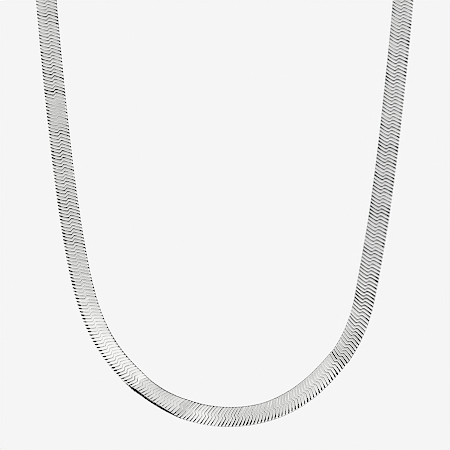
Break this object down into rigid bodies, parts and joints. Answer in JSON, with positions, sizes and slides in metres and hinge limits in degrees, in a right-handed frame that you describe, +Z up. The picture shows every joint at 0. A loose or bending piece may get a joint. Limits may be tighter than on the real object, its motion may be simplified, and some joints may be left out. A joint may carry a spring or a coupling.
{
  "type": "herringbone chain necklace",
  "caption": "Flat, polished silver herringbone chain in the form it hangs in round a neck, with end caps, jump rings and a lobster clasp at the nape.",
  "frame": {"origin": "at the nape, midway between the two jump rings, where the chain is fastened and hangs from", "axes": "+Z up, -Y forwards to the chest, +X to the right of the picture; the front stretch leans forwards at its foot"},
  "size_m": [0.0939, 0.085, 0.1459],
  "materials": {
    "chain_silver": "polished silver",
    "fitting_silver": "polished silver"
  },
  "bodies": {
    "root": {"herringbone_band": "chain_silver", "end_cap_left": "fitting_silver", "end_cap_right": "fitting_silver", "jump_ring_left": "fitting_silver", "jump_ring_right": "fitting_silver", "lobster_clasp": "fitting_silver"}
  },
  "joints": []
}
